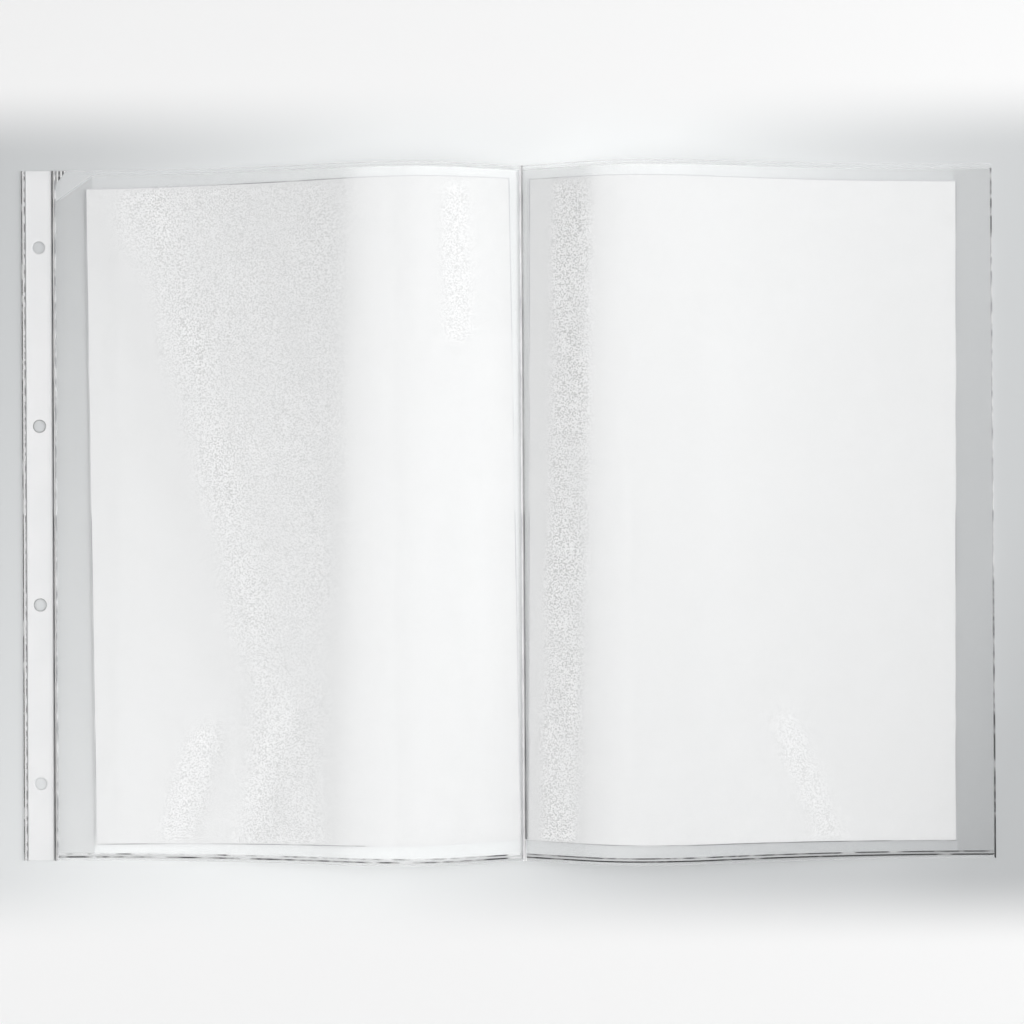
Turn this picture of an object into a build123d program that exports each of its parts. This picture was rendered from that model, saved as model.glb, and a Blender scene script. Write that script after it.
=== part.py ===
from build123d import *
import os
from math import atan, cos, degrees, radians, sin, tan

# A fold-out sheet protector: two clear pockets side by side, behind a punched binding margin.
# It lies open on a table like a book, with both leaves arched up beside the fold.
# X runs across the spread, Y up the page towards the pocket mouths and Z up from the table.
# The origin is on the table under the middle of the spread. Millimetres and degrees.

# Stock
film = 0.2  # clear pocket film
paper = 0.2  # insert sheet
band = 0.4  # white binding strip
slip = 0.3  # room between an insert and the film on each side of it

# Page
page_height = 308.5
pocket_span = 207.8  # over the table, from weld to weld; the arched film is longer
mouth_setback = 2.0  # how far the front film ends below the back film at the mouth
corner_cut_width = 17.0  # oblique cut of the left front film, along the mouth
corner_cut_height = 12.0  # the same, down the binding weld

# Welds
weld_width = 1.5
crease = 0.3  # depth of the fold line pressed into a weld that bends
edge_film = 0.3  # film outside the weld on the binding edge
bottom_film = 1.4  # film below the bottom welds
tack_width = 4.5  # weld tack at the mouth's binding corner
tack_height = 6.0

# Binding strip
strip_width = 11.4
strip_gap = 0.5  # between the strip and the weld on each side of it
hole_diameter = 5.5
hole_pitch = 80.0
hole_count = 4

# Arch of a leaf, measured on the underside of its back film
flat_run = 9.4  # outer stretch that lies on the table
crest_height = 15.0
fold_height = 3.6
crest_radius = 164.0  # outer side of the crest
gutter_radius = 85.0  # side of the crest towards the fold
gutter_slope = 17.0  # straight flank down to the fold

# Insert sheets, seen from above
insert_width = 190.0
insert_height = 293.5
insert_lift = 5.2  # from the bottom weld to the sheet
corner_gap = 0.8  # from the centre weld to the sheet's nearest corner
tilts = {"left": 0.7, "right": -0.4}  # how far askew each sheet lies

# Thickness of a filled pocket and of the binding margin
pocket_thickness = 2 * (film + slip) + paper
margin_thickness = 2 * film + band

# Arch, worked out from the sizes above
slope = radians(gutter_slope)
gutter_drop = crest_height - fold_height - gutter_radius * (1 - cos(slope))
crest_to_fold = gutter_radius * sin(slope) + gutter_drop / tan(slope)
ramp_length = pocket_span - flat_run - crest_to_fold
ramp_turn = degrees(2 * atan(crest_height / ramp_length))
ramp_radius = ramp_length / sin(radians(ramp_turn)) - crest_radius

# Places across the spread, from its left edge to its right edge
margin_width = edge_film + weld_width + strip_gap + strip_width + strip_gap
edge_radius = pocket_thickness / 2
spread_width = margin_width + 2 * weld_width + 2 * pocket_span + edge_radius
left_edge_x = -spread_width / 2
strip_x = left_edge_x + edge_film + weld_width + strip_gap + strip_width / 2
binding_weld_x = left_edge_x + margin_width
left_leaf_x = binding_weld_x + weld_width
centre_weld_x = left_leaf_x + pocket_span
right_leaf_x = centre_weld_x + weld_width
right_edge_x = right_leaf_x + pocket_span

# Places up the page
top_y = page_height / 2
front_top_y = top_y - mouth_setback
bottom_y = -page_height / 2
weld_top_y = bottom_y + bottom_film + weld_width
insert_y = weld_top_y + insert_lift + insert_height / 2

down_page = (0, -1, 0)


def section_plane(x, y):
    """Plane of a section across the spread, with its local x along X and its local y up."""
    return Plane(origin=(x, y, 0), x_dir=(1, 0, 0), z_dir=down_page)


def leaf_plane(side, y):
    """Section plane of a leaf, with its local x from the leaf's outer side towards the fold."""
    if side == "left":
        return section_plane(left_leaf_x, y)
    return Plane(origin=(right_edge_x, y, 0), x_dir=(-1, 0, 0), z_dir=(0, 1, 0))


def leaf_curve(height):
    """Draw the leaf's arch at a height over its underside and return its two ends."""
    flat = Line((0, height), (flat_run, height))
    ramp = JernArc(flat @ 1, flat % 1, ramp_radius - height, ramp_turn)
    crest = JernArc(ramp @ 1, ramp % 1, crest_radius + height, -ramp_turn)
    gutter = JernArc(crest @ 1, crest % 1, gutter_radius + height, -gutter_slope)
    flank = Line(gutter @ 1, (pocket_span, fold_height + height / cos(slope)))
    return flat @ 0, flank @ 1


def leaf_layer(side, y, low, high):
    """Section of one layer of a leaf, between two heights over the leaf's underside."""
    with BuildSketch(leaf_plane(side, y)) as section:
        with BuildLine():
            low_outer, low_fold = leaf_curve(low)
            high_outer, high_fold = leaf_curve(high)
            Line(low_outer, high_outer)
            Line(low_fold, high_fold)
        make_face()
    return section.sketch


def creased_bar(x, base, height):
    """Section of a weld that bends, with the fold line pressed into its top."""
    middle = weld_width / 2
    with BuildSketch(section_plane(x, top_y)) as section:
        with BuildLine():
            Polyline(
                (0, base),
                (weld_width, base),
                (weld_width, base + height),
                (middle + crease, base + height),
                (middle, base + height - crease),
                (middle - crease, base + height),
                (0, base + height),
                close=True,
            )
        make_face()
    return section.sketch


def punched_sheet(width, x, base):
    """Outline of a full-height sheet centred on x, with the row of ring holes on the strip's middle."""
    with BuildSketch(Plane.XY.offset(base)) as outline:
        with Locations((x, 0)):
            Rectangle(width, page_height)
        with Locations((strip_x, 0)):
            with GridLocations(0, hole_pitch, 1, hole_count):
                Circle(hole_diameter / 2, mode=Mode.SUBTRACT)
    return outline.sketch


def save(piece, name):
    """Label a finished piece and write it."""
    piece.part.label = name
    export_step(piece.part, f"parts/{name}.step")


os.makedirs("parts", exist_ok=True)

# Binding margin: a white strip between two films
margin_x = left_edge_x + margin_width / 2
with BuildPart() as margin_back_film:
    extrude(punched_sheet(margin_width, margin_x, 0), amount=film)
save(margin_back_film, "margin_back_film")

with BuildPart() as binding_strip:
    extrude(punched_sheet(strip_width, strip_x, film), amount=band)
save(binding_strip, "binding_strip")

with BuildPart() as margin_front_film:
    extrude(punched_sheet(margin_width, margin_x, film + band), amount=film)
save(margin_front_film, "margin_front_film")

# Weld that closes the binding edge, between the margin films
with BuildPart() as outer_edge_weld:
    with BuildSketch(Plane.XY.offset(film)):
        with Locations((left_edge_x + edge_film, 0)):
            Rectangle(weld_width, page_height, align=(Align.MIN, Align.CENTER))
    extrude(amount=band)
save(outer_edge_weld, "outer_edge_weld")

# Weld between the margin and the left pocket, on which the page turns
with BuildPart() as binding_weld:
    extrude(creased_bar(binding_weld_x, 0, pocket_thickness), amount=page_height, dir=down_page)
save(binding_weld, "binding_weld")

# Weld between the two pockets, on which the spread folds
with BuildPart() as centre_weld:
    centre_rise = pocket_thickness / cos(slope)
    extrude(creased_bar(centre_weld_x, fold_height, centre_rise), amount=page_height, dir=down_page)
save(centre_weld, "centre_weld")

# What both leaves have: a back film, a bottom weld between the films and an insert sheet
front_low = pocket_thickness - film
insert_reach = insert_height / 2
insert_low = film + slip
for side in ("left", "right"):
    with BuildPart() as back_film:
        extrude(leaf_layer(side, top_y, 0, film), amount=page_height, dir=down_page)
    save(back_film, f"{side}_back_film")

    with BuildPart() as bottom_weld:
        extrude(leaf_layer(side, weld_top_y, film, front_low), amount=weld_width, dir=down_page)
        if side == "right":
            # The seam stops in a round end beside the folded edge
            end_radius = weld_width / 2
            with BuildSketch():
                with Locations((right_leaf_x, weld_top_y - end_radius)):
                    Rectangle(pocket_span - end_radius, weld_width, align=(Align.MIN, Align.CENTER))
                with Locations((right_edge_x - end_radius, weld_top_y - end_radius)):
                    Circle(end_radius)
            extrude(amount=crest_height + pocket_thickness, mode=Mode.INTERSECT)
    save(bottom_weld, f"{side}_bottom_weld")

    tilt = radians(abs(tilts[side]))
    corner_reach = insert_reach * sin(tilt) + insert_width / 2 * cos(tilt) + corner_gap
    insert_x = centre_weld_x - corner_reach if side == "left" else right_leaf_x + corner_reach
    with BuildPart() as insert_sheet:
        stock = leaf_layer(side, insert_y + insert_height, insert_low, insert_low + paper)
        extrude(stock, amount=2 * insert_height, dir=down_page)
        with BuildSketch():
            with Locations((insert_x, insert_y)):
                Rectangle(insert_width, insert_height, rotation=tilts[side])
        extrude(amount=crest_height + pocket_thickness, mode=Mode.INTERSECT)
    save(insert_sheet, f"{side}_insert_sheet")

# Front film of the left pocket, cut off obliquely at the mouth's binding corner
front_height = front_top_y - bottom_y
with BuildPart() as left_front_film:
    left_front = leaf_layer("left", front_top_y, front_low, pocket_thickness)
    extrude(left_front, amount=front_height, dir=down_page)
    with BuildSketch():
        with BuildLine():
            Polyline(
                (left_leaf_x, front_top_y),
                (left_leaf_x + corner_cut_width, front_top_y),
                (left_leaf_x, front_top_y - corner_cut_height),
                close=True,
            )
        make_face()
    extrude(amount=crest_height + pocket_thickness, mode=Mode.SUBTRACT)
save(left_front_film, "left_front_film")

# Weld tack in that corner, on the back film
with BuildPart() as left_mouth_tack:
    with BuildSketch(Plane.XY.offset(film)):
        with BuildLine():
            Polyline(
                (left_leaf_x, top_y),
                (left_leaf_x + tack_width, top_y),
                (left_leaf_x, top_y - tack_height),
                close=True,
            )
        make_face()
    extrude(amount=film)
save(left_mouth_tack, "left_mouth_tack")

# Front film of the right pocket
with BuildPart() as right_front_film:
    right_front = leaf_layer("right", front_top_y, front_low, pocket_thickness)
    extrude(right_front, amount=front_height, dir=down_page)
save(right_front_film, "right_front_film")

# Outer edge of the right pocket, where the back film goes round into the front film
with BuildPart() as right_edge_bend:
    with BuildSketch(leaf_plane("right", front_top_y)) as bend_section:
        with BuildLine():
            outside = CenterArc((0, edge_radius), edge_radius, 90, 180)
            inside = CenterArc((0, edge_radius), edge_radius - film, 90, 180)
            Line(outside @ 0, inside @ 0)
            Line(outside @ 1, inside @ 1)
        make_face()
    extrude(bend_section.sketch, amount=front_height, dir=down_page)
save(right_edge_bend, "right_edge_bend")
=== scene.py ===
from math import atan, cos, pi, radians, sin, tan

import bpy
import numpy as np
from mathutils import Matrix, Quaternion, Vector


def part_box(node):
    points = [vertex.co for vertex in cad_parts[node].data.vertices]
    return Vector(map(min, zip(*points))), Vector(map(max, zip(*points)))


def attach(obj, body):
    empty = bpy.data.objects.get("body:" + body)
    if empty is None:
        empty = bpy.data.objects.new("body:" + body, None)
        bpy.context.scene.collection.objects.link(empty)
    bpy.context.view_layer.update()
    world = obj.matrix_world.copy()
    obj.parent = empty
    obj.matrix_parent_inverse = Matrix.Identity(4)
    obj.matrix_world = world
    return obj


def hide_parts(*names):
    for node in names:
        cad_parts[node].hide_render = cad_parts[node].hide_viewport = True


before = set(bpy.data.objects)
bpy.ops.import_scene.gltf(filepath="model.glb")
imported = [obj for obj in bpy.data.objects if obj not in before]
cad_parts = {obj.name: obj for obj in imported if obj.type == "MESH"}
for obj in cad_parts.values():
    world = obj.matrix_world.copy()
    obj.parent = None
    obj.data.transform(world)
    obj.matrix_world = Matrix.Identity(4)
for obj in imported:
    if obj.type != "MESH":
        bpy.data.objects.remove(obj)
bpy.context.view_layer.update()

# Fold-out sheet protector lying open like a book. Metres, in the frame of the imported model.
MM = 0.001
gap = 0.02 * MM  # between pieces that lie on each other, so that no two faces share a place
sharp_angle = radians(38)  # shading is smooth over edges that turn less than this

# Arch of a leaf, which a box can't give
flat_run = 9.4 * MM
crest_radius = 164 * MM
gutter_radius = 85 * MM
gutter_slope = radians(17)

# Other sizes that a box can't give
tilts = {"left": radians(0.7), "right": radians(-0.4)}  # how far each insert sheet lies askew
corner_cut = (17 * MM, 12 * MM)  # oblique cut of the left front film, across and down the page
hole_diameter = 5.5 * MM
hole_pitch = 80 * MM

# Sizes read from the frame
back_low, back_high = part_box("left_back_film")
mouth_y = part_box("left_front_film")[1].y
right_low, right_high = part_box("right_back_film")
margin_low, margin_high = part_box("margin_back_film")
strip_low, strip_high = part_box("binding_strip")
edge_low, edge_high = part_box("outer_edge_weld")
binding_low, binding_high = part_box("binding_weld")
centre_low, centre_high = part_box("centre_weld")
seam_low, seam_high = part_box("left_bottom_weld")
tack_low, tack_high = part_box("left_mouth_tack")
bend_low, bend_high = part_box("right_edge_bend")
film = margin_high.z - margin_low.z
pocket = binding_high.z - binding_low.z
span = back_high.x - back_low.x
crest_height = back_high.z - film
fold_height = centre_low.z
top_y, bottom_y = back_high.y, back_low.y
seam_y = (seam_low.y + seam_high.y) / 2
weld_width = seam_high.y - seam_low.y
strip_x = (strip_low.x + strip_high.x) / 2
hole_rows = [hole_pitch * k for k in (-1.5, -0.5, 0.5, 1.5)]

# The arch as circles and straight runs: flat, ramp, crest, gutter and flank
gutter_drop = crest_height - fold_height - gutter_radius * (1 - cos(gutter_slope))
crest_u = span - gutter_radius * sin(gutter_slope) - gutter_drop / tan(gutter_slope)
ramp_turn = 2 * atan(crest_height / (crest_u - flat_run))
ramp_radius = (crest_u - flat_run) / sin(ramp_turn) - crest_radius
ramp_end = flat_run + ramp_radius * sin(ramp_turn)
gutter_end = crest_u + gutter_radius * sin(gutter_slope)


def leaf_height(u):
    """Height of a leaf's underside, at a distance from its outer side."""
    u = np.asarray(u, float)
    ramp = ramp_radius - np.sqrt(ramp_radius**2 - np.clip(u - flat_run, 0, ramp_radius) ** 2)
    before, past = np.clip(u - crest_u, -crest_radius, 0), np.clip(u - crest_u, 0, gutter_radius)
    crest = crest_height - crest_radius + np.sqrt(crest_radius**2 - before**2)
    gutter = crest_height - gutter_radius + np.sqrt(gutter_radius**2 - past**2)
    flank = fold_height + (span - u) * tan(gutter_slope)
    runs = [u < flat_run, u < ramp_end, u < crest_u, u < gutter_end]
    return np.select(runs, [np.zeros_like(u), ramp, crest, gutter], flank)


def over_leaf(side, x, lift):
    """Height of a point at a lift over the underside of a leaf, square to it."""
    x = np.asarray(x, float)
    u = x - back_low.x if side == "left" else right_high.x - x
    step = 0.05 * MM
    rise = (leaf_height(u + step) - leaf_height(u - step)) / (2 * step)
    return leaf_height(u) + lift * np.sqrt(1 + rise**2)


def bump(t):
    """A round hump that is 1 at 0 and level with the ground from -1 and 1."""
    t = np.clip(np.abs(t), 0, 1)
    return (1 - t * t) ** 2


def ease(t):
    """A smooth step from 0 to 1."""
    t = np.clip(t, 0, 1)
    return t * t * (3 - 2 * t)


def ripple(x, y, seed):
    """Slow unevenness from -1 to 1."""
    a = np.sin(x * 61 + y * 23 + seed) + np.sin(x * 19 - y * 47 + 2.1 * seed)
    b = np.sin(x * 113 + y * 71 + 0.7 * seed) * np.sin(y * 29 + 1.3 * seed)
    return (a + b) / 3


def spaced(low, high, count, *fine):
    """Places from low to high, with more of them round each (place, reach, count) in fine."""
    places = list(np.linspace(low, high, count))
    for place, reach, more in fine:
        places += [p for p in np.linspace(place - reach, place + reach, more) if low < p < high]
    places = np.unique(np.round(places, 8))
    closest = 4e-6  # of two places nearer than this, one is left out
    last = len(places) - 1
    keep = [0] + [i for i in range(1, last) if places[i] - places[i - 1] > closest] + [last]
    return places[keep]


def ruled(xs, ts, low, high):
    """A plan of points between two lines, low(x) and high(x), as a grid of faces."""
    x, t = np.meshgrid(xs, ts, indexing="ij")
    y = low(x) + (high(x) - low(x)) * t
    return gridded(x, y)


def gridded(x, y):
    """Points and faces of a plan from two arrays of the same shape."""
    nx, ny = x.shape
    at = np.arange(nx * ny).reshape(nx, ny)
    faces = np.stack([at[:-1, :-1], at[1:, :-1], at[1:, 1:], at[:-1, 1:]], -1).reshape(-1, 4)
    return np.stack([x.ravel(), y.ravel()], -1), [tuple(int(i) for i in f) for f in faces]


def level(height):
    """A line of a plan that keeps one height up the page."""
    return lambda x: np.full_like(x, height)


def new_piece(name, verts, polys, slots=None):
    """An object from its points and faces, smooth but for its sharp edges. slots is each face's material."""
    mesh = bpy.data.meshes.new(name)
    mesh.from_pydata([tuple(float(c) for c in v) for v in verts], [], polys)
    if slots is not None:
        mesh.polygons.foreach_set("material_index", slots)
    mesh.polygons.foreach_set("use_smooth", [True] * len(polys))
    mesh.set_sharp_from_angle(angle=sharp_angle)
    mesh.update()
    piece = bpy.data.objects.new(name, mesh)
    bpy.context.scene.collection.objects.link(piece)
    return piece


def slab(name, plan, low, high, paint=None, under=None):
    """A closed sheet over a plan, between two heights for each point.

    paint gives the material of each face, and under that of the faces below and the sides if it's another."""
    points, faces = plan
    n = len(points)
    low = np.broadcast_to(low, (n,))
    high = np.broadcast_to(high, (n,))
    verts = [(p[0], p[1], z) for p, z in zip(points, high)] + [(p[0], p[1], z) for p, z in zip(points, low)]
    shade = [0] * len(faces) if paint is None else [paint(*points[list(f)].mean(0)) for f in faces]
    polys = list(faces) + [tuple(i + n for i in reversed(f)) for f in faces]
    slots = shade + (shade if under is None else [under] * len(faces))
    edges = {}
    for f, m in zip(faces, shade):
        for a, b in zip(f, f[1:] + f[:1]):
            edges[(a, b)] = m
    for (a, b), m in edges.items():
        if (b, a) not in edges:
            polys.append((a + n, b + n, b, a))
            slots.append(m if under is None else under)
    return new_piece(name, verts, polys, slots)


hole_rings = (1.3, 1.14, 1.06, 1.02, 1.0)  # rings of points round a hole, in its radii


def punched(x_low, x_high, rows, radius, xs_extra=()):
    """A plan of the full page height with a row of round holes on the strip's middle.

    Round each hole the grid leaves a square out, and rings of faces fill it up to the rim."""
    half = 1.55 * radius  # of the square's side
    steps = 8  # faces along the square's side
    between = 14  # lines of points from one square to the next
    columns = sorted({x_low, x_high, strip_x - half, strip_x + half, *xs_extra})
    middle = columns.index(strip_x - half)
    side = [strip_x - half + 2 * half * k / steps for k in range(steps + 1)]
    columns = columns[:middle] + side + columns[middle + 2:]
    lines = [bottom_y]
    for row in rows:
        lines += list(np.linspace(lines[-1], row - half, between)[1:])
        lines += [row - half + 2 * half * k / steps for k in range(1, steps + 1)]
    lines += list(np.linspace(lines[-1], top_y, between)[1:])
    points, index, faces = [], {}, []

    def at(x, y):
        key = (round(x, 7), round(y, 7))
        if key not in index:
            index[key] = len(points)
            points.append((x, y))
        return index[key]

    def holed(x0, x1, y0, y1):
        inside = strip_x - half < (x0 + x1) / 2 < strip_x + half
        return inside and any(abs((y0 + y1) / 2 - row) < half for row in rows)

    for x0, x1 in zip(columns, columns[1:]):
        for y0, y1 in zip(lines, lines[1:]):
            if not holed(x0, x1, y0, y1):
                faces.append((at(x0, y0), at(x1, y0), at(x1, y1), at(x0, y1)))
    for row in rows:
        rim = [(-half + 2 * half * k / steps, -half) for k in range(steps)]
        rim += [(half, -half + 2 * half * k / steps) for k in range(steps)]
        rim += [(half - 2 * half * k / steps, half) for k in range(steps)]
        rim += [(-half, half - 2 * half * k / steps) for k in range(steps)]
        rings = [[at(strip_x + px, row + py) for px, py in rim]]
        for ring_radius in hole_rings:
            turned = [np.array(p) / np.hypot(*p) * radius * ring_radius for p in rim]
            rings.append([at(strip_x + p[0], row + p[1]) for p in turned])
        for outer, inner in zip(rings, rings[1:]):
            for k in range(len(rim)):
                j = (k + 1) % len(rim)
                faces.append((outer[k], outer[j], inner[j], inner[k]))
    return np.array(points), faces


def hole_distance(points):
    """How far each point of a plan is from the nearest hole's rim."""
    gaps = [np.hypot(points[:, 0] - strip_x, points[:, 1] - row) for row in hole_rows]
    return np.min(gaps, 0) - hole_diameter / 2


# Materials
def new_material(name):
    """An empty material, with its nodes, links and output."""
    material = bpy.data.materials.new(name)
    material.use_nodes = True
    nodes = material.node_tree.nodes
    nodes.clear()
    output = nodes.new("ShaderNodeOutputMaterial")
    return material, nodes, material.node_tree.links, output


def grain_bump(nodes, links, scale, strength, distance, detail=2.0):
    """A bump of small round grain, in the object's own coordinates."""
    place = nodes.new("ShaderNodeTexCoord")
    noise = nodes.new("ShaderNodeTexNoise")
    noise.inputs["Scale"].default_value = scale
    noise.inputs["Detail"].default_value = detail
    noise.inputs["Roughness"].default_value = 0.45
    relief = nodes.new("ShaderNodeBump")
    relief.inputs["Strength"].default_value = strength
    relief.inputs["Distance"].default_value = distance
    links.new(place.outputs["Object"], noise.inputs["Vector"])
    links.new(noise.outputs["Fac"], relief.inputs["Height"])
    return relief, noise, place


def cool_grey(tone):
    """A grey that is a little blue where it is dark."""
    return tone * (0.965 + 0.02 * tone), tone, tone * (1.03 - 0.03 * tone), 1


def painted_light_band(nodes, links, place, tone_of):
    """Painted light: a pool of light painted into the colour, brightest in a band across the table, which
    runs up the page and a little to the right.

    tone_of turns each of the band's tones into the tone that is wanted."""
    across_band = nodes.new("ShaderNodeVectorMath")
    across_band.operation = "DOT_PRODUCT"
    across_band.inputs[1].default_value = band_across
    reach = nodes.new("ShaderNodeMapRange")
    reach.inputs["From Min"].default_value = band_middle - band_reach
    reach.inputs["From Max"].default_value = band_middle + band_reach
    tones = nodes.new("ShaderNodeValToRGB")
    ramp = tones.color_ramp
    while len(ramp.elements) < len(painted_band_tones):
        ramp.elements.new(0.5)
    for element, (where, written) in zip(ramp.elements, painted_band_tones):
        element.position = where
        element.color = cool_grey(tone_of(written))
    links.new(place.outputs["Object"], across_band.inputs[0])
    links.new(across_band.outputs["Value"], reach.inputs["Value"])
    links.new(reach.outputs["Result"], tones.inputs["Fac"])
    return tones.outputs["Color"]


def clear_material(name, colour, veil, mirror, roughness, scale, distance, grained=False, tone_of=None):
    """Clear film: it lets through most light, veils a little of it and mirrors more at a slant.

    The veil has a colour of its own, or with tone_of that of the painted light band. A grained film's relief
    follows the share of grain that its mesh names at each point, and painted dark specks and glints, for the
    light its grain lenses, dim and brighten what is seen through it."""
    material, nodes, links, output = new_material(name)
    relief, noise, place = grain_bump(nodes, links, scale, 1.0, distance, 1.0)
    through = nodes.new("ShaderNodeBsdfTransparent")
    body = nodes.new("ShaderNodeBsdfPrincipled")
    body.inputs["Roughness"].default_value = 0.6
    body.inputs["Specular IOR Level"].default_value = 0.2
    height = noise.outputs["Fac"]
    if tone_of is None:
        tones = nodes.new("ShaderNodeValToRGB")
        tones.color_ramp.elements[0].position = 0.3
        tones.color_ramp.elements[0].color = (*[c * 0.985 for c in colour], 1)
        tones.color_ramp.elements[1].position = 0.7
        tones.color_ramp.elements[1].color = (*[c * 1.01 for c in colour], 1)
        links.new(height, tones.inputs["Fac"])
        veil_colour = tones.outputs["Color"]
    else:
        veil_colour = painted_light_band(nodes, links, place, tone_of)
    gloss = nodes.new("ShaderNodeBsdfAnisotropic")
    gloss.inputs["Roughness"].default_value = roughness
    if grained:
        grain = nodes.new("ShaderNodeAttribute")
        grain.attribute_name = "grain"
        centred = nodes.new("ShaderNodeMath")
        centred.operation = "SUBTRACT"
        centred.inputs[1].default_value = 0.5
        shared = nodes.new("ShaderNodeMath")
        shared.operation = "MULTIPLY_ADD"
        shared.inputs[2].default_value = 0.5
        links.new(height, centred.inputs[0])
        links.new(centred.outputs[0], shared.inputs[0])
        links.new(grain.outputs["Fac"], shared.inputs[1])
        links.new(shared.outputs[0], relief.inputs["Height"])
        # Painted light: a speck of the grain darkens what the film lets through, and the film between specks
        # brightens it. This is painted shade and glint for the light the grain lenses
        speck = nodes.new("ShaderNodeMapRange")
        speck.inputs["From Min"].default_value, speck.inputs["From Max"].default_value = speck_heights
        painted_speck_light = nodes.new("ShaderNodeMath")
        painted_speck_light.operation = "MULTIPLY_ADD"
        painted_speck_light.inputs[1].default_value = -painted_speck_shade
        painted_speck_light.inputs[2].default_value = painted_grain_glint
        passed = nodes.new("ShaderNodeMath")
        passed.operation = "MULTIPLY_ADD"
        passed.inputs[2].default_value = 1
        links.new(height, speck.inputs["Value"])
        links.new(speck.outputs["Result"], painted_speck_light.inputs[0])
        links.new(painted_speck_light.outputs[0], passed.inputs[0])
        links.new(grain.outputs["Fac"], passed.inputs[1])
        links.new(passed.outputs[0], through.inputs["Color"])
    slant = nodes.new("ShaderNodeLayerWeight")
    slant.inputs["Blend"].default_value = 0.5
    power = nodes.new("ShaderNodeMath")
    power.operation = "POWER"
    power.inputs[1].default_value = slant_power
    share = nodes.new("ShaderNodeMath")
    share.operation = "MULTIPLY_ADD"
    share.inputs[1].default_value = slant_mirror
    share.inputs[2].default_value = mirror
    veiled = nodes.new("ShaderNodeMixShader")
    veiled.inputs[0].default_value = veil
    if grained:
        clearer = nodes.new("ShaderNodeMath")
        clearer.operation = "MULTIPLY_ADD"
        clearer.inputs[1].default_value = -grain_clears * veil
        clearer.inputs[2].default_value = veil
        links.new(grain.outputs["Fac"], clearer.inputs[0])
        links.new(clearer.outputs[0], veiled.inputs[0])
    shown = nodes.new("ShaderNodeMixShader")
    links.new(veil_colour, body.inputs["Base Color"])
    links.new(relief.outputs["Normal"], body.inputs["Normal"])
    links.new(relief.outputs["Normal"], gloss.inputs["Normal"])
    links.new(slant.outputs["Facing"], power.inputs[0])
    links.new(power.outputs[0], share.inputs[0])
    links.new(through.outputs[0], veiled.inputs[1])
    links.new(body.outputs[0], veiled.inputs[2])
    links.new(share.outputs[0], shown.inputs[0])
    links.new(veiled.outputs[0], shown.inputs[1])
    links.new(gloss.outputs[0], shown.inputs[2])
    links.new(shown.outputs[0], output.inputs["Surface"])
    return material


def solid_material(name, low, high, scale, detail, roughness, strength, distance, spread=(0.35, 0.65)):
    """An opaque material whose colour wanders between two tones."""
    material, nodes, links, output = new_material(name)
    relief, noise, place = grain_bump(nodes, links, scale * 3, strength, distance)
    tone = nodes.new("ShaderNodeTexNoise")
    tone.inputs["Scale"].default_value = scale
    tone.inputs["Detail"].default_value = detail
    tones = nodes.new("ShaderNodeValToRGB")
    tones.color_ramp.elements[0].position = spread[0]
    tones.color_ramp.elements[0].color = (*low, 1)
    tones.color_ramp.elements[1].position = spread[1]
    tones.color_ramp.elements[1].color = (*high, 1)
    body = nodes.new("ShaderNodeBsdfPrincipled")
    body.inputs["Roughness"].default_value = roughness
    links.new(place.outputs["Object"], tone.inputs["Vector"])
    links.new(tone.outputs["Fac"], tones.inputs["Fac"])
    links.new(tones.outputs["Color"], body.inputs["Base Color"])
    links.new(relief.outputs["Normal"], body.inputs["Normal"])
    links.new(body.outputs[0], output.inputs["Surface"])
    return material


def line_material(name, along, dark, pale, scale, spread, fade=0.0):
    """A line of painted shade, such as where a weld's ridges bend light away: dashes between two greys that
    change along the line only. With fade, one end is darker.
    """
    material, nodes, links, output = new_material(name)
    place = nodes.new("ShaderNodeTexCoord")
    run = nodes.new("ShaderNodeVectorMath")
    run.operation = "DOT_PRODUCT"
    run.inputs[1].default_value = along
    dashes = nodes.new("ShaderNodeTexNoise")
    dashes.noise_dimensions = "1D"
    dashes.inputs["Scale"].default_value = scale
    dashes.inputs["Detail"].default_value = 3
    drift = nodes.new("ShaderNodeMath")
    drift.operation = "MULTIPLY_ADD"
    drift.inputs[1].default_value = fade
    tones = nodes.new("ShaderNodeValToRGB")
    tones.color_ramp.elements[0].position = spread[0]
    tones.color_ramp.elements[0].color = (dark, dark, dark * 1.04, 1)
    tones.color_ramp.elements[1].position = spread[1]
    tones.color_ramp.elements[1].color = (pale, pale, pale * 1.01, 1)
    body = nodes.new("ShaderNodeBsdfPrincipled")
    body.inputs["Roughness"].default_value = 0.4
    body.inputs["Specular IOR Level"].default_value = 0.2
    links.new(place.outputs["Object"], run.inputs[0])
    links.new(run.outputs["Value"], dashes.inputs["W"])
    links.new(run.outputs["Value"], drift.inputs[0])
    links.new(dashes.outputs["Fac"], drift.inputs[2])
    links.new(drift.outputs[0], tones.inputs["Fac"])
    links.new(tones.outputs["Color"], body.inputs["Base Color"])
    links.new(body.outputs[0], output.inputs["Surface"])
    return material


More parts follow.
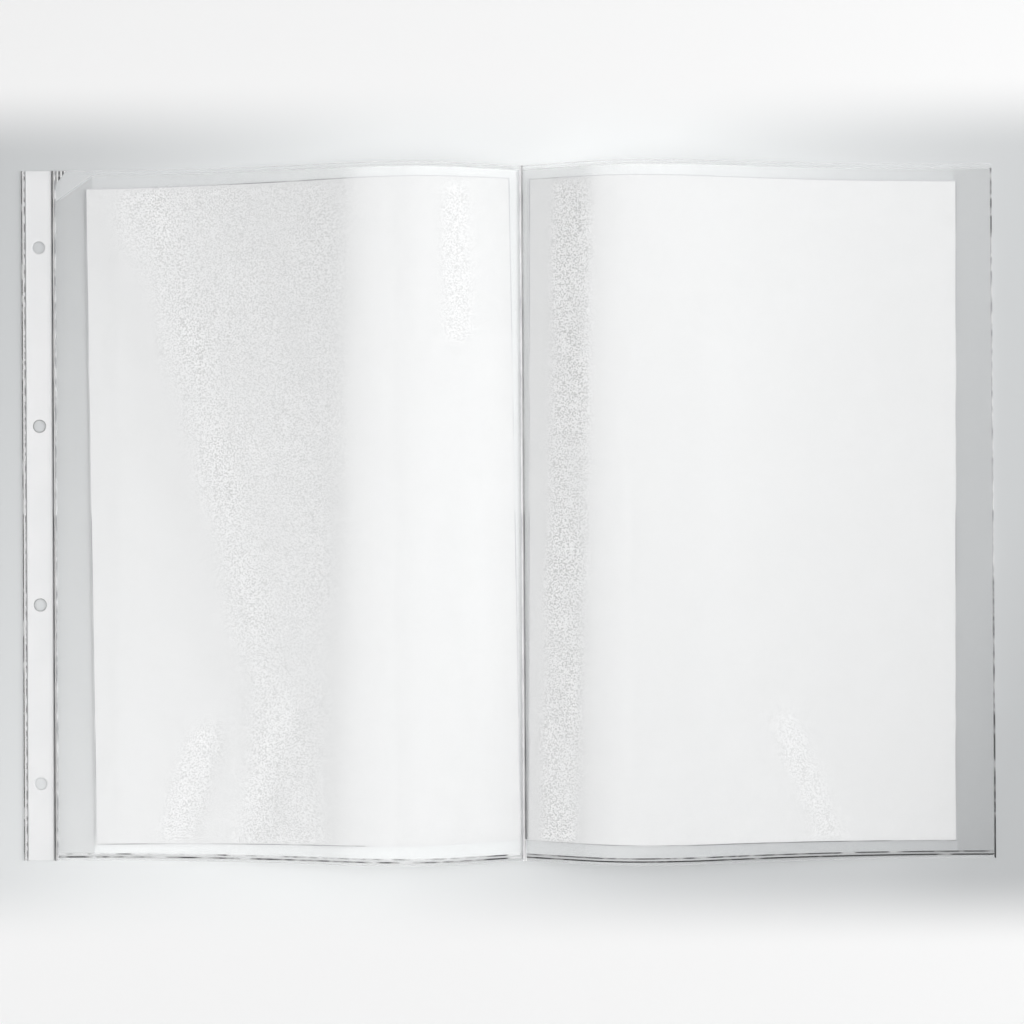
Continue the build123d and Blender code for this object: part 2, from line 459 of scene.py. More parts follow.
# The band of light painted on the table: its direction across, where its middle is and how far its tones
# reach on both sides, and the floor's painted tone at shares of the way across
band_across = (0.932, -0.362, 0)
band_middle = -0.03
band_reach = 0.4
painted_band_tones = [
    (0.2, 0.6), (0.25, 0.645), (0.3, 0.715), (0.35, 0.785), (0.4, 0.87), (0.45, 0.915), (0.5, 0.93),
    (0.55, 0.91), (0.6, 0.82), (0.65, 0.73), (0.7, 0.66), (0.75, 0.615), (0.8, 0.59), (0.85, 0.52), (1, 0.48),
]
veil_share = 0.27  # how much of what is under a front film its veil hides
slant_mirror, slant_power = 0.75, 5  # how much more a film mirrors at a full slant, and how late that sets in
speck_heights = (0.46, 0.62)  # heights of the grain between which a speck rises
painted_speck_shade = 0.36  # painted shade: how much darker a speck of full grain shows what is behind it, for the light it turns aside
painted_grain_glint = 0.112  # painted glint: how much brighter the film between the specks shows what is behind it
grain_clears = 0.5  # the share of the veil that full grain takes away


def veil_tone(tone):
    """The tone of a front film's veil, painted after the light band across the table: it changes less than
    the light band's.
    """
    return 0.62 + 0.55 * (tone - 0.75) - 0.9 * max(0, 0.62 - tone)


def unveiled(tone):
    """The tone under a front film's veil that shows through it as the one wanted: it paints the lit floor's
    tone onto a back film.
    """
    return min(0.97, (tone - veil_tone(tone) * veil_share) / (1 - veil_share))


# Clear films: name, colour, veil, mirror, roughness of the mirror, and the scale and depth of the relief
# Painted light: the grained film's veil takes the painted light band's tones, darker where that painted light
# is dimmer
film_face = clear_material("grained_film", None, veil_share, 0.08, 0.2, 1400, 0.00003, True, veil_tone)
# Painted light: near-opaque veils on the back films in the painted light band's tones. They paint out the
# paper's shadow on the floor, so that the film looks clear over a lit floor. The left one is lighter, to make
# up for the shade on its slope away from the lamps
painted_floor_veils = {
    "left": clear_material("painted_floor_left", None, 0.95, 0.01, 0.3, 200, 0.00001, False,
                           lambda tone: unveiled(1.08 * tone)),
    "right": clear_material("painted_floor_right", None, 0.95, 0.01, 0.3, 200, 0.00001, False, unveiled),
}
film_smooth = clear_material("smooth_film", (0.86, 0.87, 0.88), 0.04, 0.03, 0.15, 200, 0.00002)
film_inside = clear_material("film_inside", (0.86, 0.87, 0.88), 0.012, 0.01, 0.2, 620, 0.00002)
# Painted shade: a grey veil that draws a film's cut edge as a line
film_rim = clear_material("film_cut_edge", (0.75, 0.76, 0.77), 0.35, 0.04, 0.2, 300, 0.00003)
weld_clear = clear_material("weld_band", (0.92, 0.92, 0.92), 0.7, 0.04, 0.15, 400, 0.00003)
# Painted light: the seam band's veil takes the painted light band's tones
seam_clear = clear_material("seam_band", None, 0.6, 0.03, 0.15, 400, 0.00003, False, lambda tone: tone)

# Lines of painted shade, where the welds' ridges and the folded edge bend light away: name, direction, dark
# and pale tone, scale of the dashes, where the tones change, fade of one end
up_page, across_page = (0, 1, 0), (1, 0, 0)
edge_black = line_material("edge_line_black", up_page, 0.01, 0.4, 70, (0.53, 0.61))
edge_grey = line_material("edge_line_grey", up_page, 0.2, 0.7, 260, (0.4, 0.6))
binding_dark = line_material("binding_line", up_page, 0.05, 0.2, 60, (0.35, 0.65))
binding_pale = line_material("binding_line_pale", up_page, 0.4, 0.75, 120, (0.4, 0.6))
fold_dark = line_material("fold_line", up_page, 0.12, 0.5, 40, (0.25, 0.75), 1.6)
fold_pale = line_material("fold_line_pale", up_page, 0.55, 0.85, 60, (0.3, 0.6))
side_lines = [  # along the folded edge, upwards, painted black to pale for the light its clear bend sends away: the height up to which each runs, and its material
    (-92 * MM, line_material("side_line_black", up_page, 0.03, 0.34, 110, (0.46, 0.62), 0.3)),
    (-30 * MM, line_material("side_line_grey", up_page, 0.12, 0.42, 160, (0.4, 0.62))),
    (117 * MM, line_material("side_line_faint", up_page, 0.3, 0.58, 160, (0.36, 0.6))),
    (1.0, line_material("side_line_pale", up_page, 0.12, 0.48, 130, (0.42, 0.64))),
]
seam_black = line_material("seam_line_black", across_page, 0.01, 0.35, 70, (0.52, 0.68), -0.5)
seam_dash = line_material("seam_line_dashed", across_page, 0.03, 0.75, 80, (0.4, 0.62))
seam_pale = line_material("seam_line_pale", across_page, 0.06, 0.8, 90, (0.36, 0.6), -0.6)
seam_grey = line_material("seam_line_grey", across_page, 0.05, 0.5, 90, (0.4, 0.62), -0.6)
# Painted shade along the cut edges of the paper
cut_across = line_material("paper_edge_across", across_page, 0.25, 0.75, 25, (0.4, 0.65), -0.3)
cut_up = line_material("paper_edge_up", up_page, 0.4, 0.75, 25, (0.4, 0.6))
cut_pale = line_material("paper_edge_pale", up_page, 0.66, 0.84, 25, (0.4, 0.6))
# Painted shade round the rims of the holes
hole_dark = line_material("hole_rim_dark", up_page, 0.14, 0.2, 60, (0.4, 0.6))
hole_pale = line_material("hole_rim_pale", up_page, 0.68, 0.76, 60, (0.4, 0.6))
# Painted shade in the tack's grooves
rib_dark = line_material("tack_groove", up_page, 0.08, 0.4, 300, (0.45, 0.6))

# Opaque sheets: name, two tones, their scale and detail, roughness, and the strength and depth of the relief
paper_white = solid_material("insert_paper", (0.862, 0.864, 0.865), (0.885, 0.885, 0.885), 260, 5, 0.75, 0.15,
                             0.00005)
strip_white = solid_material("strip_plastic", (0.8, 0.805, 0.81), (0.83, 0.83, 0.835), 60, 3, 0.42, 0.1,
                             0.00005)


def finish_piece(piece, body, slot, node, *materials):
    """Give a piece its materials and body, let it cast no shadow if its slot is clear film, and hide the part
    of the node that it stands for.
    """
    for material in materials:
        piece.data.materials.append(material)
    if slot == "clear_film":
        piece.visible_shadow = False
    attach(piece, body)
    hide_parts(node)
    return piece


# Binding margin: a white strip between two films, with the ring holes through all three
hole_round = 0.35 * MM  # how far from a hole's rim a sheet gets thinner
hole_shade = 0.22 * MM  # width of the rim of painted shade round a hole


def punched_piece(name, node, x_low, x_high, low, high, slot, edge, materials,
                  xs_extra=(), relief=None, paint=None):
    """A sheet of the margin that is thinner by edge on both faces at the rims of its holes."""
    plan = punched(x_low, x_high, hole_rows, hole_diameter / 2, xs_extra)
    rim = bump(hole_distance(plan[0]) / hole_round) * edge
    rise = 0 if relief is None else relief(plan[0])
    under = 1 if slot == "clear_film" else None
    piece = slab(name, plan, low + rim, high - rim + rise, paint, under)
    return finish_piece(piece, "binding_margin", slot, node, *materials)


edge_lines = (edge_low.x + 0.25 * MM, edge_high.x - 0.25 * MM)
edge_ridge, edge_half = 0.09 * MM, 0.3 * MM  # height and half width of the ridges over these lines


def edge_relief(points):
    """Two low ridges over the weld's lines."""
    return sum(edge_ridge * bump((points[:, 0] - x) / edge_half) for x in edge_lines)


def hole_paint(x, y):
    """The strip's material, and a thin rim of painted shade round each hole, darker at the two middle holes.
    """
    if hole_distance(np.array([[x, y]]))[0] > hole_shade:
        return 0
    return 1 if abs(y) < hole_pitch else 2


edge_columns = [x + d * MM for x in edge_lines for d in (-0.3, -0.18, -0.08, 0, 0.08, 0.18, 0.3)]
margin_front_low, margin_front_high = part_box("margin_front_film")
punched_piece("strip_band", "binding_strip", strip_low.x, strip_high.x, strip_low.z + gap, strip_high.z - gap,
              "white_strip", 0.1 * MM, (strip_white, hole_dark, hole_pale), paint=hole_paint)
punched_piece("margin_film_under", "margin_back_film", margin_low.x, margin_high.x, margin_low.z,
              margin_high.z, "clear_film", 0.05 * MM, (film_inside, film_inside))
punched_piece("margin_film_over", "margin_front_film", margin_low.x, margin_high.x, margin_front_low.z,
              margin_front_high.z, "clear_film", 0.05 * MM, (film_smooth, film_inside),
              edge_columns, edge_relief)


# Welds: a pressed band with a raised line along each side. Shares of the way across a weld:
across = np.array([0, 0.06, 0.13, 0.2, 0.27, 0.33, 0.42, 0.46, 0.5,
                   0.54, 0.58, 0.67, 0.73, 0.8, 0.87, 0.94, 1])
weld_ridge = 0.02 * MM  # height of the two lines
press_depth, press_half = 0.22 * MM, 0.32  # the pressed middle, and half its share of the weld
crease_depth, crease_half = 0.12 * MM, 0.06  # the fold line in it
long_rows = 160  # rows of points up the page in a long narrow piece


def two_lines(s):
    """Two low ridges along a weld, at a share of the way across it."""
    return bump((s - 0.15) / 0.17) + bump((s - 0.85) / 0.17)


def standing_weld(name, node, body, low, high, seed, paints, inset=0.0, line_share=0.34, dark_from=0.0):
    """A weld that runs up the page: a bar with two raised lines and a fold line in its pressed middle.

    With an inset it is a plain bar, lower by that much on both faces. Its right line is of the second of the
    paints from a height over the weld's lower end on."""
    xs = low.x + gap + across * (high.x - low.x - 2 * gap)
    plan = ruled(xs, np.linspace(0, 1, long_rows), level(low.y), level(high.y))
    s = (plan[0][:, 0] - low.x) / (high.x - low.x)
    wander = 1 + 0.3 * ripple(plan[0][:, 1] * 6, s * 0.01, seed)
    lines = weld_ridge * two_lines(s) * wander
    pressed = -press_depth * bump((s - 0.5) / press_half) - crease_depth * bump((s - 0.5) / crease_half)
    if inset:
        lines, pressed = -inset, 0

    # The weld's two lines take the painted shade of its line materials
    def paint(x, y):
        t = (x - low.x) / (high.x - low.x)
        if t > 1 - line_share:
            return 2 if y > low.y + dark_from else 1
        return 1 if t < line_share else 0

    piece = slab(name, plan, low.z + inset, high.z + lines + pressed, paint)
    return finish_piece(piece, body, "weld", node, weld_clear, *paints)


standing_weld("binding_seam", "binding_weld", "binding_margin", binding_low, binding_high, 1.0,
              (binding_dark, binding_pale))
standing_weld("centre_seam", "centre_weld", "left_leaf", centre_low, centre_high, 2.0, (fold_pale, fold_dark),
              dark_from=10 * MM)
standing_weld("edge_seam", "outer_edge_weld", "binding_margin", edge_low, edge_high, 3.0,
              (edge_black, edge_grey), gap, 0.27)


# Leaves
def leaf_columns(side):
    """Places across a leaf, closer together where it bends."""
    low, high = (back_low.x, back_high.x) if side == "left" else (right_low.x, right_high.x)
    fold = high if side == "left" else low
    return spaced(low, high, 90, (fold, 60 * MM, 50), (fold, 6 * MM, 21))


seam_dip, dip_reach = 0.5 * MM, 9 * MM  # how deep the bottom seam presses the front film, and how far up
film_cut = 0.35 * MM  # cut edge of a film, painted as a grey line of shade
painted_floor_reach = 8 * MM  # how far the back film carries the painted tone of the lit floor, from the bottom weld and the mouth
painted_floor_by_fold = 6 * MM  # the same, from the centre weld
painted_floor_inset = 17 * MM  # how far from a leaf's outer side that starts
seam_grow = 0.2 * MM  # how far a bottom seam's pressed lines reach past the weld
seam_ridge = 0.08 * MM  # height of the front film's ridges over them
wave_depth = 0.08 * MM  # height of the slow waves in a front film
held_sides, held_seam = 14 * MM, 12 * MM  # how far its sides and its bottom seam hold it even
paper_lift, paper = 0.5 * MM, 0.2 * MM  # an insert's height over the leaf's underside, and its thickness
paper_cut = 0.45 * MM  # cut edge of the paper, painted with shade

# Long shallow dents in the front films: two ends, half width and depth
dents = {
    "left": [((-128 * MM, -88 * MM), (-146 * MM, -152 * MM), 9 * MM, 0.2 * MM),
             ((-84 * MM, -70 * MM), (-118 * MM, -152 * MM), 12 * MM, 0.2 * MM),
             ((-22 * MM, 160 * MM), (-20 * MM, 92 * MM), 10 * MM, 0.15 * MM)],
    "right": [((112 * MM, -72 * MM), (147 * MM, -152 * MM), 10 * MM, 0.22 * MM)],
}

# Where the front films show their grain and its painted glints and dark specks, placed where the light brings
# them out:
# zones between two lines up the page, each row (y, left x, right x, share), and streaks, with their two ends,
# half width and share
grain_and_glint_zones = {
    "left": [(-150 * MM, -122 * MM, -82 * MM, 0.65), (-105 * MM, -116 * MM, -82 * MM, 0.55),
             (-72 * MM, -120 * MM, -80 * MM, 0.4), (5 * MM, -138 * MM, -74 * MM, 0.5),
             (105 * MM, -164 * MM, -72 * MM, 0.5), (150 * MM, -186 * MM, -68 * MM, 0.5)],
    "right": [(-150 * MM, 15 * MM, 30 * MM, 0.85), (-60 * MM, 16 * MM, 33 * MM, 0.75),
              (20 * MM, 20 * MM, 36 * MM, 0.8), (150 * MM, 22 * MM, 38 * MM, 0.85)],
}
grain_and_glint_streaks = {
    "left": [((-130 * MM, -84 * MM), (-150 * MM, -152 * MM), 16 * MM, 0.55),
             ((-22 * MM, 160 * MM), (-20 * MM, 70 * MM), 11 * MM, 0.47)],
    "right": [((116 * MM, -78 * MM), (146 * MM, -150 * MM), 12 * MM, 0.38)],
}
grain_soft = {"left": 26 * MM, "right": 9 * MM}  # how softly a zone's two sides end
grain_uneven = {  # how much of the grain and its painted glints shows at shares of the way across a zone
    "left": ((0, 0.25, 0.55, 0.8, 1), (0.75, 1.15, 0.75, 0.75, 0.9)),
    "right": ((0, 1), (1, 1)),
}
grain_least = 0.04  # the share that shows everywhere
grain_end = 4 * MM  # how far the paper's ends ease it out


def streak(x, y, start, end, half):
    """1 along a line between two points, and 0 from half a width away and past its ends."""
    (x0, y0), (x1, y1) = start, end
    length = np.hypot(x1 - x0, y1 - y0)
    along = ((x - x0) * (x1 - x0) + (y - y0) * (y1 - y0)) / length
    off = ((x - x0) * (y1 - y0) - (y - y0) * (x1 - x0)) / length
    return bump(off / half) * ease(along / (0.25 * length)) * ease((length - along) / (0.1 * length))


def grain_and_glint_share(side, x, y):
    """How much of the grain and its painted glints and specks shows at a point of a front film."""
    rows, lefts, rights, shares = zip(*grain_and_glint_zones[side])
    left, right = np.interp(y, rows, lefts), np.interp(y, rows, rights)
    total = ease((x - left) / grain_soft[side] + 0.5) * ease((right - x) / grain_soft[side] + 0.5)
    total = total * np.interp(y, rows, shares) * (1 + 0.35 * ripple(x * 3, y * 2, 5.0))
    total = total * np.interp((x - left) / (right - left), *grain_uneven[side])
    for start, end, half, strength in grain_and_glint_streaks[side]:
        total = np.maximum(total, strength * streak(x, y, start, end, half))
    paper_low, paper_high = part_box(f"{side}_insert_sheet")
    over_paper = ease((y - paper_low.y) / grain_end) * ease((paper_high.y - y) / grain_end)
    return grain_least + total * over_paper


def slack(side, x, y):
    """How far the loose front film is off its even place: slow waves and the dents, none at its edges."""
    outer, fold = (back_low.x, back_high.x) if side == "left" else (right_high.x, right_low.x)
    away = np.minimum(np.abs(x - outer), np.abs(x - fold))
    free = ease(away / held_sides) * ease((y - seam_high.y) / held_seam)
    total = wave_depth * ripple(x * 1.6, y * 1.2, 1.0 if side == "left" else 4.0)
    for start, end, half, depth in dents[side]:
        total = total - depth * streak(x, y, start, end, half)
    return free * total


def front_lift(side, x, y):
    """How far the top of the front film is over the leaf's underside: pressed down at the bottom seam."""
    reach = ease((y - seam_high.y) / dip_reach)
    return pocket - seam_dip * (1 - reach) + slack(side, x, y)


# Where the top and bottom cut edges of the paper have dark painted shade: from and to, across the page
edge_shade = {
    ("left", "top"): (-131 * MM, -70 * MM), ("left", "bottom"): (-200 * MM, -62 * MM),
    ("right", "top"): (0, 23 * MM), ("right", "bottom"): (0, 220 * MM),
}
seam_shares = [-0.14, 0, 0.06, 0.13, 0.2, 0.27, 0.33, 0.5, 0.67, 0.73, 0.8, 0.87, 0.94, 1, 1.14]
seam_rows = seam_low.y + np.array(seam_shares) * weld_width  # rows of the front film over the bottom seam


def back_film(side, xs):
    """The film under the insert, painted with the lit floor's tone over the paper's shadow by the bottom
    seam, the mouth and the fold.
    """
    between = np.linspace(seam_high.y, mouth_y, 40)
    rows = np.concatenate([[bottom_y, bottom_y + film_cut], between, [top_y - film_cut, top_y]])
    plan = ruled(xs, (rows - bottom_y) / (top_y - bottom_y), level(bottom_y), level(top_y))
    px, py = plan[0].T
    fold = xs[-1] if side == "left" else xs[0]

    def paint(x, y):
        if top_y - y < film_cut:
            return 1
        ends = min(mouth_y - y, y - seam_high.y) < painted_floor_reach and abs(x - fold) < span - painted_floor_inset
        return 2 if seam_high.y < y < mouth_y and (ends or abs(x - fold) < painted_floor_by_fold) else 0

    piece = slab(f"{side}_film_under", plan, over_leaf(side, px, 0), over_leaf(side, px, film), paint, 0)
    finish_piece(piece, f"{side}_leaf", "clear_film", f"{side}_back_film",
                 film_inside, film_rim, painted_floor_veils[side])


def front_film(side, xs):
    """The film over the insert, with the oblique cut at the binding corner of the left one."""
    free_rows = spaced(seam_high.y + 0.4 * MM, mouth_y - film_cut, 70, (seam_high.y, dip_reach, 20))
    rows = np.concatenate([[bottom_y, bottom_y + film_cut], seam_rows, free_rows, [mouth_y]])
    cut_wide, cut_tall = corner_cut if side == "left" else (corner_cut[0], 0)
    if side == "left":
        cut_columns = np.linspace(back_low.x, back_low.x + cut_wide, 8)[1:]
        xs = np.unique(np.round(np.concatenate([xs, cut_columns]), 7))

    def mouth(x):
        return mouth_y - cut_tall * np.clip(1 - (x - back_low.x) / cut_wide, 0, 1)

    plan = ruled(xs, (rows - bottom_y) / (mouth_y - bottom_y), level(bottom_y), mouth)
    px, py = plan[0].T
    lift = front_lift(side, px, py)
    ridge = seam_ridge * two_lines((py - seam_low.y) / weld_width)

    def paint(x, y):
        if mouth(x) - y < film_cut or y - bottom_y < film_cut:
            return 1
        return 2 if y < seam_high.y + seam_grow + gap else 0

    low, high = over_leaf(side, px, lift - film), over_leaf(side, px, lift + ridge)
    piece = slab(f"{side}_film_over", plan, low, high, paint, 3)
    finish_piece(piece, f"{side}_leaf", "clear_film", f"{side}_front_film",
                 film_face, film_rim, film_smooth, film_inside)
    grain = piece.data.attributes.new("grain", "FLOAT", "POINT")
    grain.data.foreach_set("value", np.tile(grain_and_glint_share(side, px, py), 2))


def bottom_seam(side, xs):
    """The weld between the two films, round at its end by the right leaf's folded edge."""
    end = weld_width / 2 + seam_grow
    if side == "right":
        tips = right_high.x - end * (1 - np.cos(np.linspace(0, pi / 2, 9)))
        xs = np.unique(np.round(np.concatenate([xs[xs < right_high.x - end], tips]), 7))

    def reach(x):
        if side == "left":
            return np.full_like(x, end)
        return end * np.sqrt(np.clip(1 - (np.clip(x - right_high.x + end, 0, end) / end) ** 2, 1e-4, 1))

    plan = ruled(xs, across, lambda x: seam_y - reach(x), lambda x: seam_y + reach(x))
    px, py = plan[0].T
    lift = front_lift(side, px, py) - film

    # The seam's two lines take the painted shade of its line materials
    def paint(x, y):
        off = (y - seam_y) / end
        return 1 if off < -0.35 else 2 if off > 0.5 else 0

    low, high = over_leaf(side, px, film + gap), over_leaf(side, px, lift - gap)
    piece = slab(f"{side}_bottom_seam", plan, low, high, paint)
    lines = (seam_dash, seam_pale) if side == "left" else (seam_black, seam_grey)
    finish_piece(piece, f"{side}_leaf", "weld", f"{side}_bottom_weld", seam_clear, *lines)


def insert_sheet(side):
    """The paper in a pocket, a little askew. Its box gives the size of the tilted sheet."""
    tilt = tilts[side]
    lean = abs(tilt)
    low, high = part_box(f"{side}_insert_sheet")
    wide, tall = high.x - low.x, high.y - low.y
    width = (wide * cos(lean) - tall * sin(lean)) / cos(2 * lean)
    height = (tall * cos(lean) - wide * sin(lean)) / cos(2 * lean)
    inner_x, inner_y = width / 2 - paper_cut, height / 2 - paper_cut
    wides = np.concatenate([[-width / 2], np.linspace(-inner_x, inner_x, 110), [width / 2]])
    talls = np.concatenate([[-height / 2], np.linspace(-inner_y, inner_y, 24), [height / 2]])
    a, b = np.meshgrid(wides, talls, indexing="ij")
    middle_x, middle_y = (low.x + high.x) / 2, (low.y + high.y) / 2
    plan = gridded(middle_x + a * cos(tilt) - b * sin(tilt), middle_y + a * sin(tilt) + b * cos(tilt))
    px, py = plan[0].T

    # Painted shade on the cut edges: dark in the stretches of edge_shade, pale elsewhere
    def paint(x, y):
        along = (x - middle_x) * cos(tilt) + (y - middle_y) * sin(tilt)
        up = (y - middle_y) * cos(tilt) - (x - middle_x) * sin(tilt)
        if abs(up) > inner_y:
            start, end = edge_shade[side, "top" if up > 0 else "bottom"]
            return 1 if start < x < end else 3
        if abs(along) < inner_x:
            return 0
        return 2 if (along < 0) == (side == "left") else 3

    under, over = over_leaf(side, px, paper_lift), over_leaf(side, px, paper_lift + paper)
    piece = slab(f"{side}_paper", plan, under, over, paint)
    finish_piece(piece, f"{side}_insert", "paper", f"{side}_insert_sheet",
                 paper_white, cut_across, cut_up, cut_pale)


for side in ("left", "right"):
    columns = leaf_columns(side)
    back_film(side, columns)
    front_film(side, columns)
    bottom_seam(side, columns)
    insert_sheet(side)

# Folded outer edge of the right pocket
turns = np.linspace(pi / 2, -pi / 2, 15)
outer = pocket / 2  # radii of the bend
inner = outer - film
section = [(right_high.x + outer * cos(t), outer + outer * sin(t)) for t in turns]
section += [(right_high.x + inner * cos(t), outer + inner * sin(t)) for t in reversed(turns)]
rows = np.linspace(bend_low.y, bend_high.y, long_rows)
verts = [(x, y, z) for y in rows for x, z in section]
n = len(section)
polys = [tuple(k * n + i for i in (j, (j + 1) % n)) + tuple((k + 1) * n + i for i in ((j + 1) % n, j))
         for k in range(len(rows) - 1) for j in range(n)]
half = n // 2
for k in (0, len(rows) - 1):
    for j in range(half - 1):
        cap = (k * n + j, k * n + n - 1 - j, k * n + n - 2 - j, k * n + j + 1)
        polys.append(cap if k else cap[::-1])
# The whole clear folded edge is painted in the side lines' shade, black to pale up its length
line_tops, line_tones = zip(*side_lines)
slots = [int(np.searchsorted(line_tops, verts[poly[0]][1])) for poly in polys]
folded_edge = new_piece("folded_edge", verts, polys, slots)
finish_piece(folded_edge, "right_leaf", "clear_film", "right_edge_bend", *line_tones)

# Weld tack at the mouth's binding corner: a triangle pressed into ribs
tack_wide, tack_tall = tack_high.x - tack_low.x, tack_high.y - tack_low.y
rib_pitch, rib_height = 1.65 * MM, 0.25 * MM


def tack_bottom(x):
    """The tack's slanting lower side."""
    return top_y - tack_tall * (1 - (x - tack_low.x) / tack_wide)


def rib_paint(x, y):
    """Painted shade in the grooves between white ribs."""
    return 1 if cos((x - tack_low.x) / rib_pitch * 2 * pi) > 0.1 else 0


xs = np.linspace(tack_low.x, tack_high.x - gap, 41)
plan = ruled(xs, np.linspace(0, 1, 9), tack_bottom, level(top_y))
px, py = plan[0].T
ribs = rib_height * (0.5 - 0.5 * np.cos((px - tack_low.x) / rib_pitch * 2 * pi))
piece = slab("mouth_tack", plan, np.full_like(px, tack_low.z + gap), tack_high.z + ribs, rib_paint)
finish_piece(piece, "left_leaf", "weld", "left_mouth_tack", weld_clear, rib_dark)


# Stage: a pale floor that rises all round, with a band of light painted on it and painted shade away from it,
# and whiter far off
white_from, white_full = 0.16, 0.195  # up and down the page, from the object's middle
backdrop_from, backdrop_full = 0.5, 1.5  # all round


def floor_material():
    """The painted light band's tones, white above and below the page, and a pale backdrop far off."""
    material, nodes, links, output = new_material("floor_pale")
    place = nodes.new("ShaderNodeTexCoord")
    parts = nodes.new("ShaderNodeSeparateXYZ")
    off = nodes.new("ShaderNodeMath")
    off.operation = "ABSOLUTE"
    far = nodes.new("ShaderNodeMapRange")
    far.interpolation_type = "SMOOTHSTEP"
    far.inputs["From Min"].default_value = white_from
    far.inputs["From Max"].default_value = white_full
    white = nodes.new("ShaderNodeMix")
    white.data_type = "RGBA"
    white.inputs[7].default_value = (0.93, 0.93, 0.93, 1)
    body = nodes.new("ShaderNodeBsdfPrincipled")
    body.inputs["Roughness"].default_value = 0.8
    body.inputs["Specular IOR Level"].default_value = 0.2
    links.new(place.outputs["Object"], parts.inputs[0])
    links.new(parts.outputs["Y"], off.inputs[0])
    links.new(off.outputs[0], far.inputs["Value"])
    links.new(far.outputs["Result"], white.inputs[0])
    links.new(painted_light_band(nodes, links, place, lambda tone: tone), white.inputs[6])
    links.new(white.outputs[2], body.inputs["Base Color"])

    # Pale backdrop: far off, what the camera and mirrors see is an even tone that lights nothing
    distance = nodes.new("ShaderNodeVectorMath")
    distance.operation = "LENGTH"
    away = nodes.new("ShaderNodeMapRange")
    away.interpolation_type = "SMOOTHSTEP"
    away.inputs["From Min"].default_value = backdrop_from
    away.inputs["From Max"].default_value = backdrop_full
    rays = nodes.new("ShaderNodeLightPath")
    glossy, seen, even = (nodes.new("ShaderNodeMath") for _ in range(3))
    glossy.operation = seen.operation = "MAXIMUM"
    even.operation = "MULTIPLY"
    glow = nodes.new("ShaderNodeEmission")
    glow.inputs["Color"].default_value = (0.84, 0.845, 0.85, 1)
    shown = nodes.new("ShaderNodeMixShader")
    links.new(place.outputs["Object"], distance.inputs[0])
    links.new(distance.outputs["Value"], away.inputs["Value"])
    links.new(rays.outputs["Is Glossy Ray"], glossy.inputs[0])
    links.new(rays.outputs["Is Transmission Ray"], glossy.inputs[1])
    links.new(rays.outputs["Is Camera Ray"], seen.inputs[0])
    links.new(glossy.outputs[0], seen.inputs[1])
    links.new(away.outputs["Result"], even.inputs[0])
    links.new(seen.outputs[0], even.inputs[1])
    links.new(even.outputs[0], shown.inputs[0])
    links.new(body.outputs[0], shown.inputs[1])
    links.new(glow.outputs[0], shown.inputs[2])
    links.new(shown.outputs[0], output.inputs["Surface"])
    return material


flat_end, rise_run, rise_height = 1.6, 1.4, 1.1  # radius of the flat floor, how far and high its rim rises
floor_z = -0.05 * MM
spokes = 72
rings = [0.1, 0.2, 0.35, 0.6, 1.0, flat_end] + [flat_end + rise_run * k / 14 for k in range(1, 15)]
verts, polys = [(0, 0, floor_z)], []
for k, r in enumerate(rings):
    z = floor_z + rise_height * (1 - cos(max(0, r - flat_end) / rise_run * pi / 2))
    verts += [(r * cos(2 * pi * j / spokes), r * sin(2 * pi * j / spokes), z) for j in range(spokes)]
    inner, outer = 1 + (k - 1) * spokes, 1 + k * spokes
    for j in range(spokes):
        i = (j + 1) % spokes
        polys.append((inner + j, outer + j, outer + i, inner + i) if k else (0, outer + j, outer + i))
floor = new_piece("floor", verts, polys)
floor.data.materials.append(floor_material())

# Light
scene = bpy.context.scene
world = bpy.data.worlds.new("studio")
scene.world = world
world.use_nodes = True
around = world.node_tree.nodes["Background"]
around.inputs["Color"].default_value = (1, 1, 1, 1)
around.inputs["Strength"].default_value = 0.02


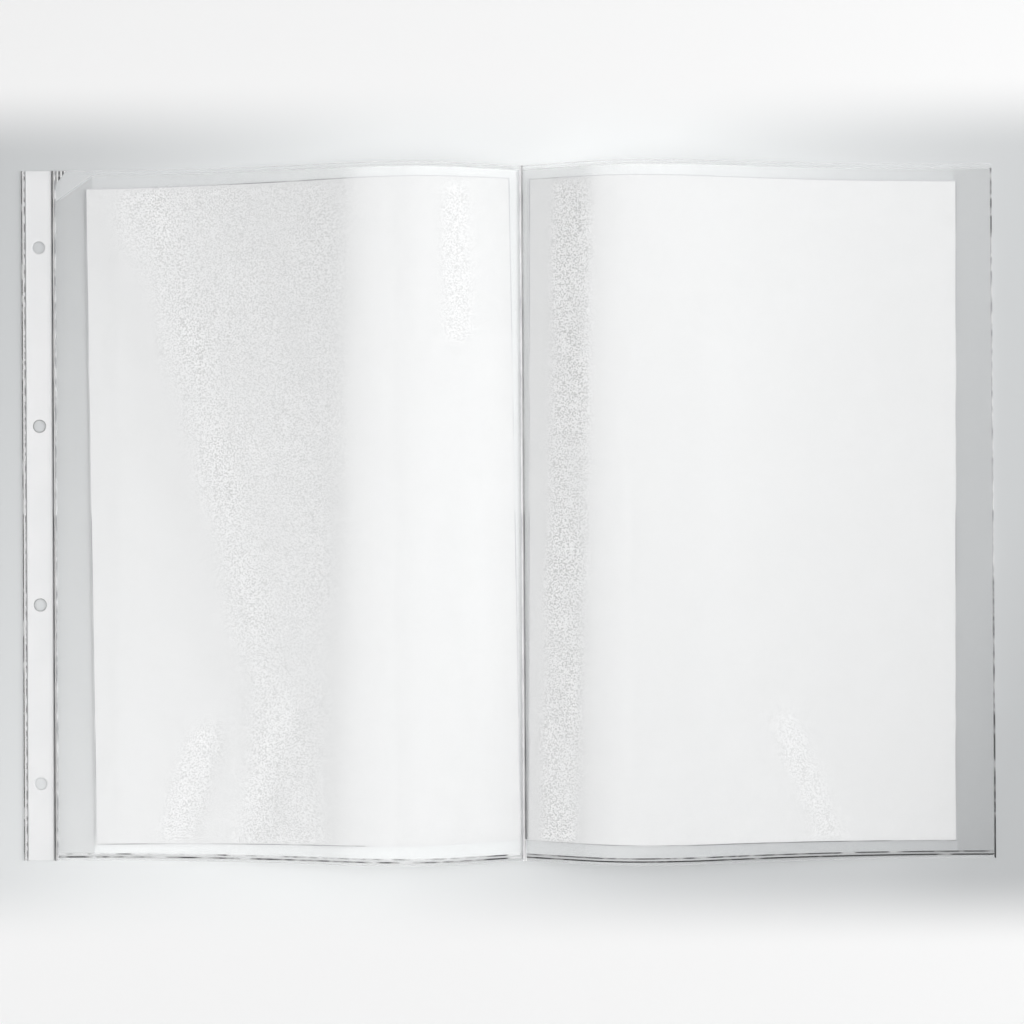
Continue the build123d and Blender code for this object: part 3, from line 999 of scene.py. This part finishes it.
def softbox(name, place, size, power, aim, turn=0.0, fade=None):
    """A rectangular soft light that points at a spot, turned about its own axis.

    With fade, its glow falls off to its right side from that share of its width on."""
    lamp = bpy.data.lights.new(name, "AREA")
    lamp.shape = "RECTANGLE"
    lamp.size, lamp.size_y = size
    lamp.energy = power
    if fade is not None:
        lamp.use_nodes = True
        nodes, links = lamp.node_tree.nodes, lamp.node_tree.links
        glow = next(n for n in nodes if n.type == "EMISSION")
        spot = nodes.new("ShaderNodeNewGeometry")
        parts = nodes.new("ShaderNodeSeparateXYZ")
        falling = nodes.new("ShaderNodeMapRange")
        falling.interpolation_type = "SMOOTHSTEP"
        falling.inputs["From Max"].default_value = 1 - fade
        links.new(spot.outputs["Parametric"], parts.inputs[0])
        links.new(parts.outputs["X"], falling.inputs["Value"])
        links.new(falling.outputs["Result"], glow.inputs["Strength"])
    holder = bpy.data.objects.new(name, lamp)
    scene.collection.objects.link(holder)
    holder.location = place
    way = Vector(place) - Vector(aim)
    holder.rotation_euler = (way.to_track_quat("Z", "Y") @ Quaternion((0, 0, 1), turn)).to_euler()
    return holder


# Lamps: name, place, size, power and aim, and the turn and fade of one
softbox("side_softbox", (1.7, 0.1, 0.86), (0.8, 1.5), 31.5, (0, 0, 0))
softbox("over_softbox", (0.135, -0.2, 1.1), (1.5, 1.6), 11.3, (0.135, -0.2, 0), -0.2, 0.3)
softbox("top_softbox", (0.1, 0.95, 1.0), (1.0, 0.8), 2.5, (0, 0, 0))
softbox("left_softbox", (-1.2, -0.3, 0.7), (0.7, 0.9), 5.8, (0, 0, 0))

# Camera, from a fit to the page corners, hole rows and edges of the photograph
focal_pixels, image_pixels = 1663.25, 1024
camera = bpy.data.cameras.new("camera")
camera.sensor_width = 36
camera.lens = focal_pixels / image_pixels * camera.sensor_width
camera.clip_start = 0.01
viewpoint = bpy.data.objects.new("camera", camera)
scene.collection.objects.link(viewpoint)
viewpoint.location = (12.1513 * MM, -2.51415 * MM, 742.266 * MM)
viewpoint.rotation_euler = (0.00381998, 0.0128344, -0.00574516)
scene.camera = viewpoint
scene.view_settings.view_transform = "Standard"

bpy.context.view_layer.update()
